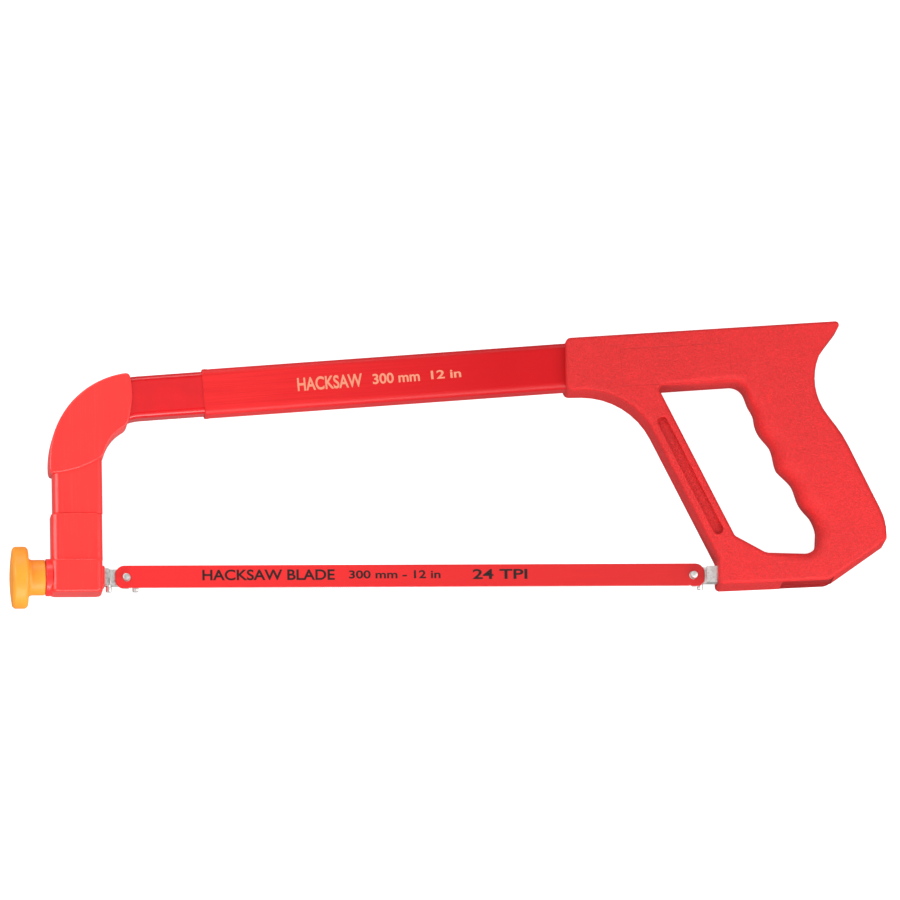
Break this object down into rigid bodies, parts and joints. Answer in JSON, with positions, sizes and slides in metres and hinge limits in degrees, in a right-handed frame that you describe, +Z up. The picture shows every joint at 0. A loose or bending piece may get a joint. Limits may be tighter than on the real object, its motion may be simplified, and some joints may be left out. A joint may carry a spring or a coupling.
{
  "type": "hacksaw",
  "caption": "Insulated hacksaw with a rectangular tube bow, a closed pistol-type handle and a long thin blade that a knob at the front pulls tight.",
  "frame": {"origin": "the saw lies on its side: the middle of its outline, on the surface that it lies on, which is level with the knob's rim", "axes": "+X along the blade from the knob to the handle, +Y from the blade towards the top bar, +Z up, across the saw's thickness"},
  "size_m": [0.4638, 0.1508, 0.0328],
  "materials": {
    "handle_plastic": "fine grained moulded plastic",
    "sleeve_plastic": "satin insulating sleeve",
    "coat_plastic": "glossy dipped insulation",
    "corner_plastic": "moulded insulating shells",
    "knob_plastic": "semi-gloss orange plastic",
    "blade_paint": "lacquered spring steel",
    "tube_steel": "plain steel tube",
    "plug_plastic": "black plastic plug",
    "machined_steel": "zinc plated steel",
    "nut_brass": "brass insert"
  },
  "bodies": {
    "bow": {"bow_tube": "tube_steel", "bow_coating": "coat_plastic", "arm_end_plug": "plug_plastic", "bar_end_plug": "plug_plastic", "top_sleeve": "sleeve_plastic", "corner_shell_upper": "corner_plastic", "corner_shell_lower": "corner_plastic", "arm_sleeve": "corner_plastic", "arm_sleeve_lower": "corner_plastic", "nose_boot": "corner_plastic", "guide_bush": "machined_steel", "thrust_washer": "machined_steel", "handle": "handle_plastic", "handle_pin": "machined_steel", "rear_anchor": "machined_steel"},
    "knob": {"knob": "knob_plastic", "knob_nut": "nut_brass"},
    "front_holder": {"front_holder": "machined_steel", "front_blade_pin": "machined_steel", "front_side_pin": "machined_steel", "front_stop_pin": "machined_steel"},
    "rear_holder": {"rear_holder": "machined_steel", "rear_blade_pin": "machined_steel", "rear_side_pin": "machined_steel", "rear_lock_pin": "machined_steel"},
    "blade": {"blade": "blade_paint"}
  },
  "joints": [
    {"name": "knob_turn", "type": "hinge", "parent": "bow", "child": "knob", "pos_m": [-0.2201, -0.059, 0.0164], "axis": [-1, 0, 0], "range_deg": [0, 1080]},
    {"name": "front_tension", "type": "slide", "parent": "bow", "child": "front_holder", "axis": [1, 0, 0], "range_m": [0, 0.00375]},
    {"name": "rear_tension", "type": "slide", "parent": "bow", "child": "rear_holder", "axis": [1, 0, 0], "range_m": [0, 0.00375]},
    {"name": "blade_lift", "type": "slide", "parent": "front_holder", "child": "blade", "axis": [0, 0, 1], "range_m": [0, 0.025]}
  ],
  "couplings": [
    {"joint": "knob_turn", "follows": "front_tension", "rad_per_m": 5026.5},
    {"joint": "rear_tension", "follows": "front_tension", "ratio": 1}
  ]
}
